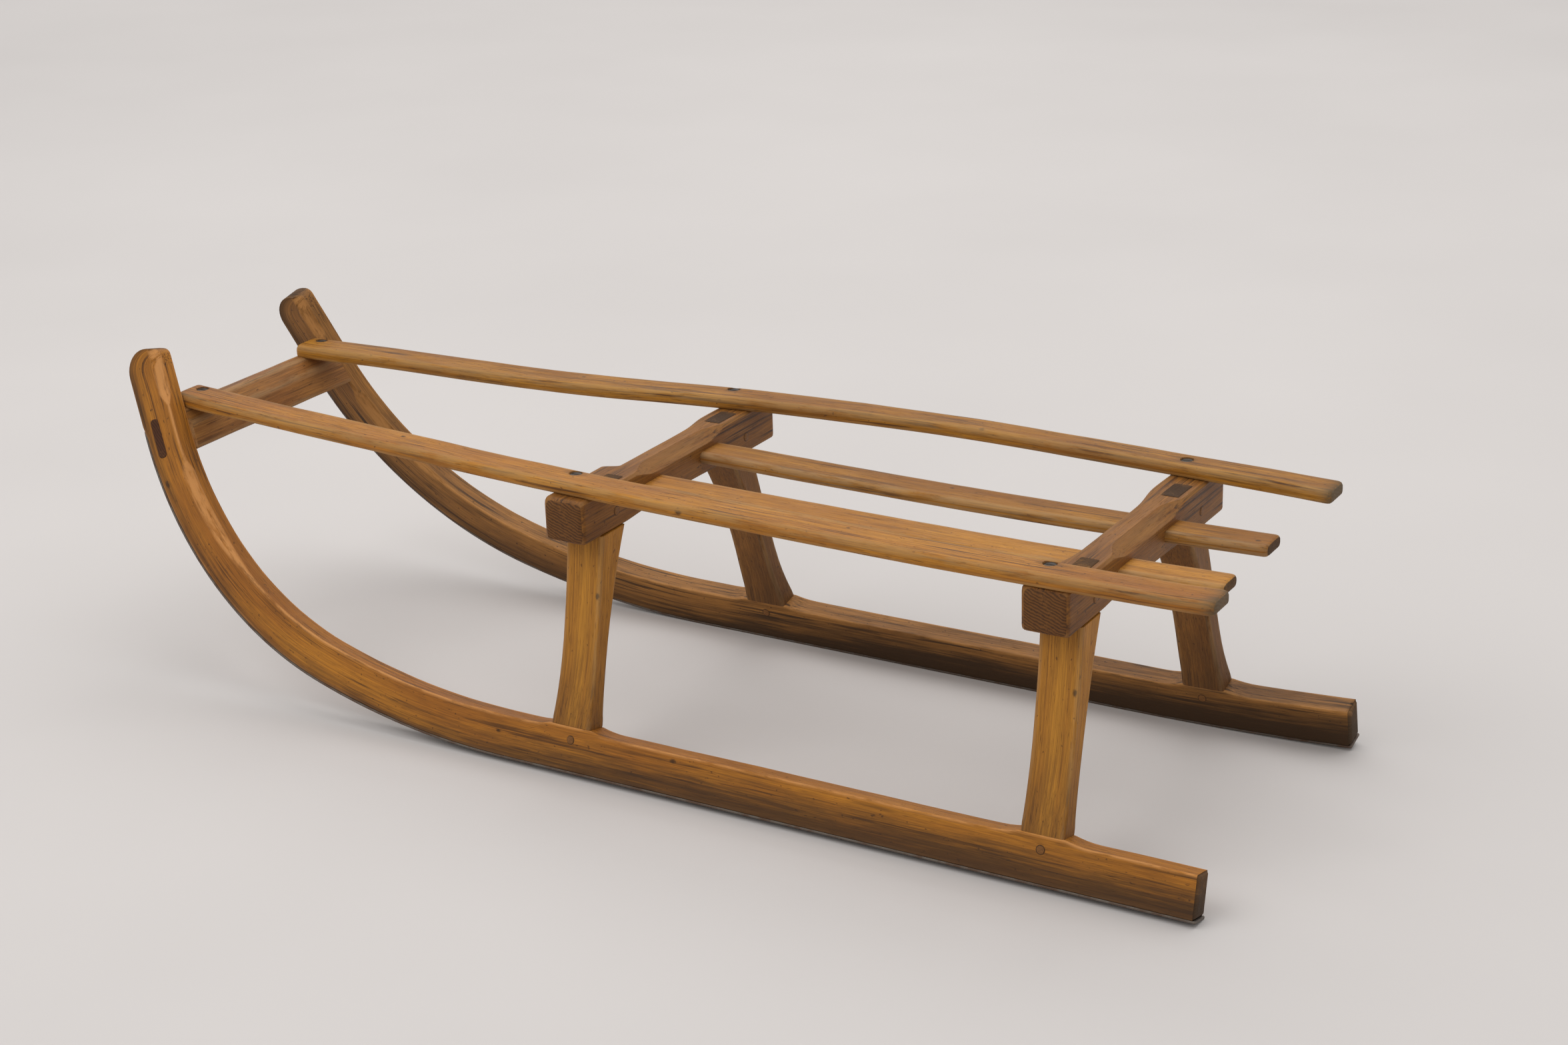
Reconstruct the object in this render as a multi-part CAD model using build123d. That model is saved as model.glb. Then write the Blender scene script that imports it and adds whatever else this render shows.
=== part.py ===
"""Wooden toboggan: two canted runners on steel shoes, four legs, two crossbars, a front rail and a
seat of four slats.

Millimetres, +Z up, the horns point to -X and the tail to +X. The origin is on the ground under the
middle of the overall box. The runner, shoe and legs of one side lie in one plane that leans inward
by CANT, so they are drawn flat, as x along the sledge and v up that plane, with Y counted inward
from the outer face. The left side is at -Y. The runners, shoes and rail are the same on both
sides, but the legs, slats and crossbars are shaped by hand and differ by some millimetres.
"""

import os
from math import cos, radians, sin, tan

from build123d import *

# Driving dimensions
LENGTH = 1028.0  # tail to the front of the horns
TRACK = 340.0  # outside width over the soles
CANT = 13.0  # lean of each side, in degrees from upright
SLAT_TOP = 241.0  # seat height
SLAT_T = 10.5
CROSSBAR_H = 36.0

# Runners and shoes
RUNNER_T = 20.0
RUNNER_H = 36.0  # sole to top edge, shoe included
SHOE_T = 2.0
SOLE_FLAT = 606.3  # straight stretch of the sole, from the tail
BENDS = ((700.0, 16.2), (318.0, 50.2))  # radius and turn of the two arcs of the bend
HORN_TOP = 285.5
HORN_NOSE_R = 21.0
HORN_BACK_R = 7.0
SHOE_ON_HORN = 7.0  # how far the shoe runs up the straight horn
EASE = 1.0  # chamfer along the upper arrises of the runners
PAD_H = 3.0  # raised seat of the runner under each leg
PAD_RAMP = 22.0  # length of the hollow ramp at each end of the seat

# Legs: front and rear edge as distances from the tail, each at the foot, the waist and the head
LEG_EDGES = {
    "middle_left": ((559.5, 555.5, 560.0), (521.5, 523.0, 525.5)),
    "middle_right": ((557.7, 558.5, 563.0), (518.5, 527.0, 529.0)),
    "rear_left": ((142.0, 140.5, 144.5), (105.7, 106.8, 110.3)),
    "rear_right": ((140.5, 141.5, 145.0), (104.0, 110.0, 112.0)),
}
LEG_WAIST_V = (75.0, 125.0)  # the straight stretch between the foot's and the head's curves
LEG_T = 17.0
LEG_INSET = 3.0  # the leg's outer face behind the runner's
LEG_BEND_V = 88.0  # height where the inner face starts to flare inward
LEG_BEND_R = 380.0
LEG_DRIFT = {"left": 0.0, "right": 4.0}  # lean of the legs beyond the runner's, in degrees
FOOT_TENON = (22.0, 10.0, 26.0)  # along x, across, depth below the pad
HEAD_TENON = (15.0, 29.0)  # along x and across
HEAD_TENON_Y = {"left": 80.0, "right": 66.0}  # its inner side where it shows on the crossbar's top
HEAD_TENON_LEAN = 20.0
HEAD_TENON_ROOT = 4.0  # how far it reaches down into the leg's shank

# Crossbars: rear face and front of the waist, as distances from the tail, then for the left and
# the right end the front of the block and where the step from waist to block starts and ends
CROSSBARS = {
    "middle": (526.2, 551.5, ((565.5, 58.0, 67.0), (557.5, 40.0, 80.0))),
    "rear": (110.3, 139.0, ((150.0, 62.0, 130.0), (145.0, 36.0, 84.0))),
}
CROSSBAR_HALF = 148.0
CAMBER = 3.0  # hollow of the underside between the legs
CAMBER_HALF = 84.0
BEVEL = (12.0, 8.0)  # rear top arris, on the top and on the rear face
BEVEL_HALF = (52.0, 66.0)  # where the bevel starts to run out, and where it ends
BLOCK_EASE = 3.0

# Front rail: its section leans with the horns
RAIL_FOOT = (960.0, 198.5)  # lower rear corner: distance from the tail, height
RAIL_SECTION = ((0, 0), (22.5, 0), (37.1, 5.5), (41.0, 15.2), (35.0, 32.0), (0, 32.0))
RAIL_TENON = (35.0, 7.4)
RAIL_TENON_ROOT = 6.0  # how far it reaches into the rail
RAIL_TENON_AT = (989.5, 209.0)  # middle of the tenon, from the tail and up the side's plane

# Seat slats: the outer ones bow in plan, so their outer and inner edges are given as distances from
# the tail and from the centre plane
SLAT_OUTER_EDGE = {
    "left": (
        (984, 94.4), (940, 100.5), (880, 107.6), (760, 119.5), (640, 131.0), (520, 139.0),
        (400, 144.3), (190, 149.0), (40, 146.5), (2, 144.0),
    ),
    "right": (
        (984, 94.4), (880, 100.0), (760, 105.0), (670, 113.5), (580, 127.5), (490, 139.0),
        (340, 145.8), (220, 142.0), (70, 135.0), (6, 131.0),
    ),
}
SLAT_INNER_EDGE = {
    "left": (
        (984, 62.8), (940, 68.5), (880, 75.0), (760, 87.0), (640, 98.8), (520, 107.5),
        (400, 113.0), (190, 118.0), (40, 115.5), (2, 113.0),
    ),
    "right": (
        (984, 64.0), (880, 67.5), (760, 72.0), (670, 80.0), (580, 95.4), (460, 112.0),
        (340, 117.5), (220, 114.0), (70, 105.6), (6, 100.0),
    ),
}
SLAT_EASE = 1.5
INNER_SLAT = (33.0, 9.5)
INNER_SLAT_Y = {"left": 47.0, "right": 41.0}
INNER_SLAT_TOP = 217.5
INNER_SLAT_ROUND = 4.0  # radius of its long arrises
INNER_SLAT_SAG = 1.0  # at the middle of its length
INNER_SLAT_ENDS = (545.0, 29.0)

# Fasteners
PEG_D = 7.0
PEG_LENGTH = 30.0
PEG_AT = (100.0, 209.0)  # from the centre plane, height
FOOT_PEG_D = 5.5
FOOT_PEG_V = 28.0
SCREW_HEAD = (9.0, 4.2)  # head and shank diameters
SCREW_LENGTH = 30.0
SCREW_SUNK = 1.0  # head below the slat's top
HEAD_RIM = 0.4  # straight rim of a countersunk head
SCREW_SPOTS = {
    "left": ((978.0, 74.0), (554.0, 113.5), (135.0, 125.0)),
    "right": ((976.0, 87.0), (552.0, 124.5), (133.0, 123.5)),
}
SLOT = (1.2, 1.2)  # width and depth of the screwdriver's slot
NAIL = (5.5, 2.6, 20.0)  # head, shank, length
NAIL_HEAD_H = 1.2
NAIL_DROP = 4.6  # its head below the crossbar's top
NAIL_SPOTS = ((118.5, 38.0), (118.5, -44.0))
SHOE_SCREW = (7.0, 3.2, 16.0)  # head, shank, length
SHOE_SCREWS = 6
SHOE_SCREW_ENDS = (25.0, 590.0)

TAIL_X = LENGTH / 2
LIFT = RUNNER_T * sin(radians(CANT))  # the inner edge of each sole touches the ground
CROSSBAR_TOP = SLAT_TOP - SLAT_T
CROSSBAR_UNDER = CROSSBAR_TOP - CROSSBAR_H
LEG_FOOT = RUNNER_H + PAD_H
ALONG_Y = (0, 1, 0)
SIDE = Pos(0, -TRACK / 2, LIFT) * Rot(-CANT, 0, 0)
SIGN = {"left": -1, "right": 1}


def from_tail(distance):
    """The x of something at a distance forward of the tail."""
    return TAIL_X - distance


def to_right(shape):
    """The right-hand copy of a left-hand piece."""
    return mirror(shape, Plane.XZ)


def on_side(side, shape):
    """A piece drawn for the left, put on its side."""
    return shape if side == "left" else to_right(shape)


def station(name):
    """The x of the middle of a leg at its waist, the same for both legs of a crossbar."""
    front, rear = LEG_EDGES[f"{name}_left"]
    return from_tail((front[1] + rear[1]) / 2)


def upright(edges, thickness, start=0.0):
    """A plate drawn in x and v, from `start` inward by its thickness."""
    face = Plane.XZ * make_face(edges)
    return Pos(0, start, 0) * extrude(face, thickness, dir=ALONG_Y)


def sole_curve(depth):
    """Sole, two arcs of the bend, as one run of edges at a depth inside the sole's outline."""
    edges = [Line((TAIL_X, depth), (from_tail(SOLE_FLAT), depth))]
    for radius, turn in BENDS:
        last = edges[-1]
        edges.append(JernArc(last @ 1, last % 1, radius - depth, -turn))
    return edges


def up_horn(edges, length):
    """The straight stretch that carries the curve on along the horn."""
    last = edges[-1]
    return Line(last @ 1, last @ 1 + (last % 1) * length)


def runner_blank():
    """The bent runner, its horn rounded at the end, before the shoe and the joints are let in."""
    below, above = sole_curve(0), sole_curve(RUNNER_H)
    for edges in (below, above):
        rise = (HORN_TOP - (edges[-1] @ 1).Y) / (edges[-1] % 1).Y
        edges.append(up_horn(edges, rise))
    nose, back = below[-1] @ 1, above[-1] @ 1
    ends = [Line(nose, back), Line(below[0] @ 0, above[0] @ 0)]
    outline = make_face(below + ends + above)
    outline = fillet(outline.vertices().sort_by_distance(nose)[0], HORN_NOSE_R)
    outline = fillet(outline.vertices().sort_by_distance(back)[0], HORN_BACK_R)
    return extrude(Plane.XZ * outline, RUNNER_T, dir=ALONG_Y)


def leg_pad(front, rear):
    """The raised seat under a leg, running down to the runner's top in two hollow ramps."""
    x0, x1 = from_tail(front[0]), from_tail(rear[0])
    left, right = (x0 - PAD_RAMP, RUNNER_H), (x1 + PAD_RAMP, RUNNER_H)
    sunk = RUNNER_H - 2 * EASE
    edges = [
        TangentArc(left, (x0, LEG_FOOT), tangent=(1, 0)),
        Line((x0, LEG_FOOT), (x1, LEG_FOOT)),
        TangentArc(right, (x1, LEG_FOOT), tangent=(-1, 0)),
        Polyline(left, (left[0], sunk), (right[0], sunk), right),
    ]
    return upright(edges, RUNNER_T)


def runner_wood(side):
    """The runner with its pads and eased upper arrises."""
    blank = runner_blank()
    tops = [e for e in blank.edges() if on_top_arris(e)]
    return chamfer(tops, EASE) + [leg_pad(*LEG_EDGES[f"{name}_{side}"]) for name in CROSSBARS]


def on_top_arris(edge):
    """Whether an edge runs along the runner's upper arris, on the sole's stretch or in the bend."""
    inner_radii = [radius - RUNNER_H for radius, _ in BENDS]
    if edge.geom_type == GeomType.CIRCLE:
        return any(abs(edge.radius - r) < 0.01 for r in inner_radii)
    flat = abs(edge.center().Z - RUNNER_H) < 0.01
    return flat and edge.length > SOLE_FLAT / 2


def shoe_strip():
    """The steel strip under the sole, from the tail to a little way up the horn."""
    lower, upper = sole_curve(0), sole_curve(SHOE_T)
    for edges in (lower, upper):
        edges.append(up_horn(edges, SHOE_ON_HORN))
    ends = [Line(lower[-1] @ 1, upper[-1] @ 1), Line(lower[0] @ 0, upper[0] @ 0)]
    return upright(lower + ends + upper, RUNNER_T)


def leg_edge(distances):
    """One edge of the leg from the side: curve of the foot, straight waist, curve of the head."""
    foot, waist, head = (from_tail(distance) for distance in distances)
    low, high = LEG_WAIST_V
    return [
        Spline((foot, LEG_FOOT), (waist, low), tangents=[((waist - foot) / 20, 1), (0, 1)]),
        Line((waist, low), (waist, high)),
        Spline((waist, high), (head, CROSSBAR_TOP), tangents=[(0, 1), ((head - waist) / 60, 1)]),
    ]


def leg_side_view(front, rear):
    """The leg's outline seen from the side."""
    edges = leg_edge(front) + leg_edge(rear)
    foot = Line(edges[0] @ 0, edges[3] @ 0)
    head = Line(edges[2] @ 1, edges[5] @ 1)
    return [foot, head, *edges]


def leg_end_view(drift):
    """The leg's outline seen from the tail: flush at the foot, flaring inward at the head."""
    top, waist = CROSSBAR_TOP, LEG_WAIST_V[0]
    lean = tan(radians(drift))
    inner = LEG_INSET + LEG_T
    low = (inner, LEG_FOOT)
    bend = (inner + (LEG_BEND_V - LEG_FOOT) * lean, LEG_BEND_V)
    flare = JernArc(bend, (lean, 1), LEG_BEND_R, -18)
    outer_low = (LEG_INSET + (waist - LEG_FOOT) * lean, waist)
    outer_top = (LEG_INSET + (top - LEG_FOOT) * lean, top)
    head = flare @ 1
    return [
        TangentArc(outer_low, (0, LEG_FOOT), tangent=(-lean, -1)),
        Polyline(outer_low, outer_top, (head.X, top), head),
        flare,
        Polyline(bend, low, (0, LEG_FOOT)),
    ]


def head_tenon(name, side):
    """The leaning tenon that shows its end on top of the crossbar."""
    length, width = HEAD_TENON
    root = CROSSBAR_UNDER - HEAD_TENON_ROOT
    spread = (CROSSBAR_TOP - root) * tan(radians(HEAD_TENON_LEAN))
    inner = HEAD_TENON_Y[side]
    outer = inner + width
    top = [(-inner, CROSSBAR_TOP), (-outer, CROSSBAR_TOP)]
    bottom = [(-outer - spread, root), (-inner - spread, root)]
    face = Plane.YZ * make_face(Polyline(*top, *bottom, close=True))
    return Pos(station(name) - length / 2, 0, 0) * extrude(face, length, dir=(1, 0, 0))


def leg(name, side):
    """A leg: foot tenon, shaped shank cut off square under the crossbar, head tenon."""
    shank = upright(leg_side_view(*LEG_EDGES[f"{name}_{side}"]), 4 * LEG_T)
    end = extrude(Plane.YZ * make_face(leg_end_view(LEG_DRIFT[side])), LENGTH, both=True)
    shank = SIDE * (shank & end)
    shank = shank & Pos(0, 0, CROSSBAR_UNDER / 2) * Box(2 * LENGTH, 2 * TRACK, CROSSBAR_UNDER)
    length, width, depth = FOOT_TENON
    foot = Pos(station(name), RUNNER_T / 2, LEG_FOOT - depth / 2) * Box(length, width, depth)
    return on_side(side, shank + SIDE * foot + head_tenon(name, side))


def crossbar_plan(rear, waist, ends):
    """The crossbar seen from above: full blocks at the ends and a waist hollowed in front."""
    x_rear, x_waist = from_tail(rear), from_tail(waist)
    edges = [Line((x_waist, -ends[0][1]), (x_waist, ends[1][1]))]
    for sign, (block, start, stop) in zip((-1, 1), ends):
        x_block = from_tail(block)
        step = Spline((x_waist, sign * start), (x_block, sign * stop), tangents=[(0, sign), (0, sign)])
        corner, back = (x_block, sign * CROSSBAR_HALF), (x_rear, sign * CROSSBAR_HALF)
        edges += [step, Polyline((x_block, sign * stop), corner, back, (x_rear, 0))]
    return edges


def crossbar_elevation():
    """The crossbar seen from the tail: flat on top, gently hollow underneath between the legs."""
    half, inner = CROSSBAR_HALF, CAMBER_HALF
    return [
        Polyline((-inner, CROSSBAR_UNDER), (-half, CROSSBAR_UNDER), (-half, CROSSBAR_TOP),
                 (half, CROSSBAR_TOP), (half, CROSSBAR_UNDER), (inner, CROSSBAR_UNDER)),
        ThreePointArc((-inner, CROSSBAR_UNDER), (0, CROSSBAR_UNDER + CAMBER), (inner, CROSSBAR_UNDER)),
    ]


def bevel_section(x_rear, width, drop):
    """The triangle that the bevel takes off, with some room above and behind."""
    over = 1.0
    return Plane.XZ * make_face(Polyline(
        (x_rear - width, CROSSBAR_TOP),
        (x_rear + over, CROSSBAR_TOP - drop - over * BEVEL[1] / BEVEL[0]),
        (x_rear + over, CROSSBAR_TOP + over),
        (x_rear - width, CROSSBAR_TOP + over),
        close=True,
    ))


def bevel_cutter(x_rear):
    """The wedge that bevels the rear top arris between the blocks and runs out at both ends."""
    full, gone = BEVEL_HALF
    whole = bevel_section(x_rear, *BEVEL)
    point = Pos(0, gone, 0) * bevel_section(x_rear, 0.1, 0.05)
    run_out = loft([Pos(0, full, 0) * whole, point])
    return extrude(whole, full, both=True) + [run_out, to_right(run_out)]


def crossbar(rear, waist, ends):
    """A crossbar before its mortises: plan and elevation together, bevelled, with eased ends."""
    plan = extrude(make_face(crossbar_plan(rear, waist, ends)), SLAT_TOP)
    elevation = extrude(Plane.YZ * make_face(crossbar_elevation()), LENGTH, both=True)
    bar = plan & elevation
    faces = bar.faces().sort_by(Axis.Y)
    return chamfer(faces[0].edges() + faces[-1].edges(), BLOCK_EASE) - bevel_cutter(from_tail(rear))


def rail_point(up, forward):
    """A point of the rail's section, from its lower rear corner: up the lean, then forward."""
    lean = radians(BENDS[0][1] + BENDS[1][1])
    distance, height = RAIL_FOOT
    rise, run = sin(lean), cos(lean)
    return (from_tail(distance) - up * run - forward * rise, height + up * rise - forward * run)


def front_rail():
    """The rail between the horns, with a round-ended through tenon at each end."""
    section = make_face(Polyline(*[rail_point(*p) for p in RAIL_SECTION], close=True))
    bar = extrude(Plane.XZ * section, TRACK, both=True)
    between = SIDE * Pos(0, RUNNER_T + TRACK, HORN_TOP / 2) * Box(2 * LENGTH, 2 * TRACK, 2 * HORN_TOP)
    bar = bar & between & to_right(between)
    tenon = rail_tenon()
    return bar + tenon + to_right(tenon)


def rail_tenon():
    """The left tenon of the front rail, square to the horn's faces."""
    lean = BENDS[0][1] + BENDS[1][1]
    distance, v = RAIL_TENON_AT
    slot = SlotOverall(*RAIL_TENON, rotation=-lean)
    face = Plane.XZ * (Pos(from_tail(distance), v) * slot)
    return SIDE * extrude(face, RUNNER_T + RAIL_TENON_ROOT, dir=ALONG_Y)


def outer_slat(side):
    """An outer slat: bowed outward in plan, with eased upper arrises."""
    sign = SIGN[side]
    outer, inner = (
        Spline(*[(from_tail(distance), sign * y) for distance, y in edge[side]])
        for edge in (SLAT_OUTER_EDGE, SLAT_INNER_EDGE)
    )
    plan = make_face([outer, inner, Line(outer @ 0, inner @ 0), Line(outer @ 1, inner @ 1)])
    slat = Pos(0, 0, CROSSBAR_TOP) * extrude(plan, SLAT_T)
    top = slat.faces().sort_by(Axis.Z)[-1]
    return chamfer(top.edges().filter_by(GeomType.BSPLINE), SLAT_EASE)


def inner_slat(side):
    """An inner slat: a round-edged lath let into both crossbars, sagging a little between its ends."""
    front, tail = (from_tail(distance) for distance in INNER_SLAT_ENDS)
    height = INNER_SLAT_TOP - INNER_SLAT[1] / 2
    y = SIGN[side] * INNER_SLAT_Y[side]
    middle = ((front + tail) / 2, y, height - INNER_SLAT_SAG)
    path = ThreePointArc((front, y, height), middle, (tail, y, height))
    start = Plane(origin=path @ 0, x_dir=(0, 1, 0), z_dir=path % 0)
    return sweep(start * RectangleRounded(*INNER_SLAT, radius=INNER_SLAT_ROUND), path=path)


def countersunk(head, shank, length):
    """A countersunk screw pointing down, its flat head at the origin."""
    cone = (head - shank) / 2
    profile = Polyline(
        (0, 0), (head / 2, 0), (head / 2, -HEAD_RIM), (shank / 2, -cone - HEAD_RIM),
        (shank / 2, -length + shank), (0, -length), close=True,
    )
    return revolve(Plane.XZ * make_face(profile), Axis.Z)


def slotted(screw, head):
    """The screw with a screwdriver's slot across its head."""
    width, depth = SLOT
    return screw - Box(head * 1.5, width, 2 * depth)


def screw_hole(head, shank, length, sunk):
    """What a sunken screw takes out of the wood: the screw itself and the well above its head."""
    return countersunk(head, shank, length) + Pos(0, 0, sunk) * Cylinder(head / 2, 2 * sunk)


def group(shapes):
    """Several separate solids in one node."""
    return Compound(children=[solid for shape in shapes for solid in shape.solids()])


def slat_screw_spots(side):
    """Where an outer slat's screws stand, at the level of their heads."""
    height = SLAT_TOP - SCREW_SUNK
    return [Pos(from_tail(distance), SIGN[side] * y, height) for distance, y in SCREW_SPOTS[side]]


def shoe_screw_spots():
    """Where the left shoe's screws stand, heads down and flush with the sole."""
    first, last = SHOE_SCREW_ENDS
    step = (last - first) / (SHOE_SCREWS - 1)
    places = [Pos(from_tail(first + i * step), RUNNER_T / 2, 0) for i in range(SHOE_SCREWS)]
    return [SIDE * place * Rot(180, 0, 0) for place in places]


def crossbar_pegs(rear):
    """The two pegs that pin a crossbar to its legs, driven in from behind."""
    y, height = PEG_AT
    x_middle = from_tail(rear) - PEG_LENGTH / 2
    peg = Rot(0, 90, 0) * Cylinder(PEG_D / 2, PEG_LENGTH)
    return [Pos(x_middle, sign * y, height) * peg for sign in (-1, 1)]


def foot_pegs():
    """The left pegs that pin the legs' feet into the runner, right through it."""
    peg = Rot(90, 0, 0) * Cylinder(FOOT_PEG_D / 2, RUNNER_T)
    return [SIDE * Pos(station(name), RUNNER_T / 2, FOOT_PEG_V) * peg for name in CROSSBARS]


def nails():
    """The nails that hold the inner slats, driven down through the rear crossbar's bevel."""
    head, shank, length = NAIL
    disc = Pos(0, 0, -NAIL_HEAD_H / 2) * Cylinder(head / 2, NAIL_HEAD_H)
    nail = disc + Pos(0, 0, -length / 2) * Cylinder(shank / 2, length)
    return [Pos(from_tail(distance), y, CROSSBAR_TOP - NAIL_DROP) * nail for distance, y in NAIL_SPOTS]


def save(name, shape):
    """Writes one node."""
    export_step(shape, f"parts/{name}.step")


def main():
    os.makedirs("parts", exist_ok=True)
    feet = foot_pegs()
    iron = nails()
    tenon = rail_tenon()
    slat_holes, laths = [], []
    shoe_holes = [spot * countersunk(*SHOE_SCREW) for spot in shoe_screw_spots()]
    shoe_screws = [spot * slotted(countersunk(*SHOE_SCREW), SHOE_SCREW[0]) for spot in shoe_screw_spots()]
    shoe = SIDE * shoe_strip() - shoe_holes

    for side in SIGN:
        spots = slat_screw_spots(side)
        holes = [spot * screw_hole(*SCREW_HEAD, SCREW_LENGTH, SCREW_SUNK) for spot in spots]
        screws = [spot * slotted(countersunk(*SCREW_HEAD, SCREW_LENGTH), SCREW_HEAD[0]) for spot in spots]
        lath = inner_slat(side)
        slat_holes += holes
        laths.append(lath)
        save(f"slat_outer_{side}", outer_slat(side) - holes)
        save(f"slat_screws_{side}", group(screws))
        save(f"slat_inner_{side}", lath - iron)
        legs = [leg(name, side) for name in CROSSBARS]
        runner = on_side(side, SIDE * (runner_wood(side) - shoe_strip()))
        joints = [on_side(side, piece) for piece in (tenon, *feet, *shoe_holes)]
        save(f"runner_{side}", runner - legs - joints)
        save(f"runner_shoe_{side}", on_side(side, shoe))
        save(f"runner_foot_pegs_{side}", group([on_side(side, peg) for peg in feet]))
        save(f"shoe_screws_{side}", group([on_side(side, screw) for screw in shoe_screws]))

    for name, (rear, waist, ends) in CROSSBARS.items():
        legs = {side: leg(name, side) for side in SIGN}
        pegs = crossbar_pegs(rear)
        bar = crossbar(rear, waist, ends) - list(legs.values())
        save(f"crossbar_{name}", bar - laths - pegs - iron - slat_holes)
        save(f"crossbar_pegs_{name}", group(pegs))
        for side, shape in legs.items():
            save(f"leg_{name}_{side}", shape - pegs - [on_side(side, peg) for peg in feet])
    save("front_rail", front_rail() - slat_holes)
    save("inner_slat_nails", group(iron))


main()
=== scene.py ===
from math import cos, exp, pi, radians, sin, sqrt, tan

import bmesh
import bpy
import numpy as np
from mathutils import Matrix, Vector


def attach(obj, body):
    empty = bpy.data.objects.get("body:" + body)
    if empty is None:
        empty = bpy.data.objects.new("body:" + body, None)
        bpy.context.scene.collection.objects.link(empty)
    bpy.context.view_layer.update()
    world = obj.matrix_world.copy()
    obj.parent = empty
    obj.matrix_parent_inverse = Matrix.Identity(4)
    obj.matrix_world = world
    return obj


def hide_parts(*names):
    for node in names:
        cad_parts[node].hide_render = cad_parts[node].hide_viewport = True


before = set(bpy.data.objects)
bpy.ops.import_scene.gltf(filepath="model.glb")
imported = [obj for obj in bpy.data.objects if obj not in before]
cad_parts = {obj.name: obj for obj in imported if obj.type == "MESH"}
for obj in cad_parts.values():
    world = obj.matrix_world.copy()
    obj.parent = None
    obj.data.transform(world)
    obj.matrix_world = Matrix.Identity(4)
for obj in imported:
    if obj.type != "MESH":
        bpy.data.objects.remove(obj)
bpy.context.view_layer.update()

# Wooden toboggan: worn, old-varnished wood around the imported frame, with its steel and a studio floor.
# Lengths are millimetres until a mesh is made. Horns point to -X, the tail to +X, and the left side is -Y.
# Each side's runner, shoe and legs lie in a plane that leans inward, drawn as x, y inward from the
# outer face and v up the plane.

MM = 0.001
SIGN = {"left": -1, "right": 1}

TAIL = 514.0  # x of the runners' tails
TRACK = 340.0  # over the outer edges of the soles
CANT = radians(13.0)
COS, SIN = cos(CANT), sin(CANT)
RUNNER_T, RUNNER_H, SHOE_T = 20.0, 36.0, 2.0
LIFT = RUNNER_T * SIN  # the inner edge of each sole touches the ground
SOLE_FLAT = 606.3
BENDS = ((700.0, radians(16.2)), (318.0, radians(50.2)))  # radius and sweep
ARCS_END = SOLE_FLAT + sum(radius * sweep for radius, sweep in BENDS)
HORN_LEAN = BENDS[0][1] + BENDS[1][1]
HORN_TOP = 285.5
NOSE_R, BACK_R = 21.0, 7.0  # rounding of the horn's end, sole side and upper side
TAIL_ROUND = 4.0
PAD_H, PAD_RAMP = 3.0, 22.0  # the raised seat under a leg
FOOT_V = RUNNER_H + PAD_H
TOE_LENGTH, TOE_OUT, TOE_RISE = 190.0, 8.0, 0.3  # splay of the right runner's tail, and rise for splay

SLAT_TOP, SLAT_T = 241.0, 10.5
BAR_TOP = SLAT_TOP - SLAT_T
BAR_UNDER = BAR_TOP - 36.0
BAR_HALF = 148.0

# Front and rear edge of each leg, as distances from the tail at the foot, the waist and the head
LEG_EDGES = {
    "middle_left": ((559.5, 555.5, 560.0), (521.5, 523.0, 525.5)),
    "middle_right": ((557.7, 558.5, 563.0), (518.5, 527.0, 529.0)),
    "rear_left": ((142.0, 140.5, 144.5), (105.7, 106.8, 110.3)),
    "rear_right": ((140.5, 141.5, 145.0), (104.0, 110.0, 112.0)),
}
DRIFT = {"left": 0.0, "right": radians(4.0)}  # how much more than its runner a leg leans inward
LEG_INSET, LEG_T, LEG_BEND_V, LEG_BEND_R = 3.0, 17.0, 88.0, 380.0
FOOT_FLARE, HEAD_START, HEAD_FLARE = 88.0, 105.0, 91.0
TENON_Y = {"left": 80.0, "right": 66.0}
TENON_HALF, TENON_WIDTH, TENON_LEAN = 7.5, 29.0, radians(20.0)

# Rear face and waist, as distances from the tail; then for the left and right ends the block's front
# face and the |y| where the waist's hollow ends and the block begins
CROSSBARS = {
    "middle": (526.2, 551.5, ((565.5, 58.0, 67.0), (557.5, 40.0, 80.0))),
    "rear": (110.3, 139.0, ((150.0, 62.0, 130.0), (145.0, 36.0, 84.0))),
}
RAIL_FOOT = (960.0, 198.5)
# Corners of the rail up the horn and forward of its back, with their rounding
RAIL_SECTION = ((0, 0, 2.5), (22.5, 0, 3), (37.1, 5.5, 3), (41.0, 15.2, 3), (35.0, 32.0, 5), (0, 32.0, 2.5))
RAIL_TENON = (989.5, 209.0)  # middle of the tenon's end: distance from the tail, and v
RAIL_TENON_HALVES = (17.5, 4.8)

# Plan of the slats: distance from the tail, centre line's |y| and width
SLATS = {
    "outer_left": (
        (992, 77.7, 31.6), (940, 84.5, 32), (880, 91.3, 32.6), (760, 103.2, 32.5), (640, 114.9, 32.2),
        (520, 123.2, 31.5), (400, 128.6, 31.3), (190, 133.5, 31), (40, 131, 31), (2, 128.5, 31),
    ),
    "outer_right": (
        (989, 79.0, 30.6), (880, 83.8, 32.4), (760, 88.6, 33), (670, 96.8, 33.4), (580, 111.4, 32),
        (490, 123.5, 30.5), (340, 131.7, 28.4), (220, 128, 28), (70, 120.3, 29.4), (6, 115.5, 31),
    ),
    "inner_left": ((545, 46, 33), (409, 46.5, 33), (200, 49, 33), (34, 43.5, 29), (29, 43.2, 28.5)),
    "inner_right": (
        (545, 42.5, 33), (484, 42, 33), (384, 40, 33), (234, 38.6, 33), (34, 44.4, 31), (29, 44.6, 30.5),
    ),
}
# Where the slats' screws are: distance from the tail, and |y|
SCREWS = {
    "left": ((978.0, 74.0), (554.0, 113.5), (135.0, 125.0)),
    "right": ((976.0, 87.0), (552.0, 124.5), (133.0, 123.5)),
}
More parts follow.
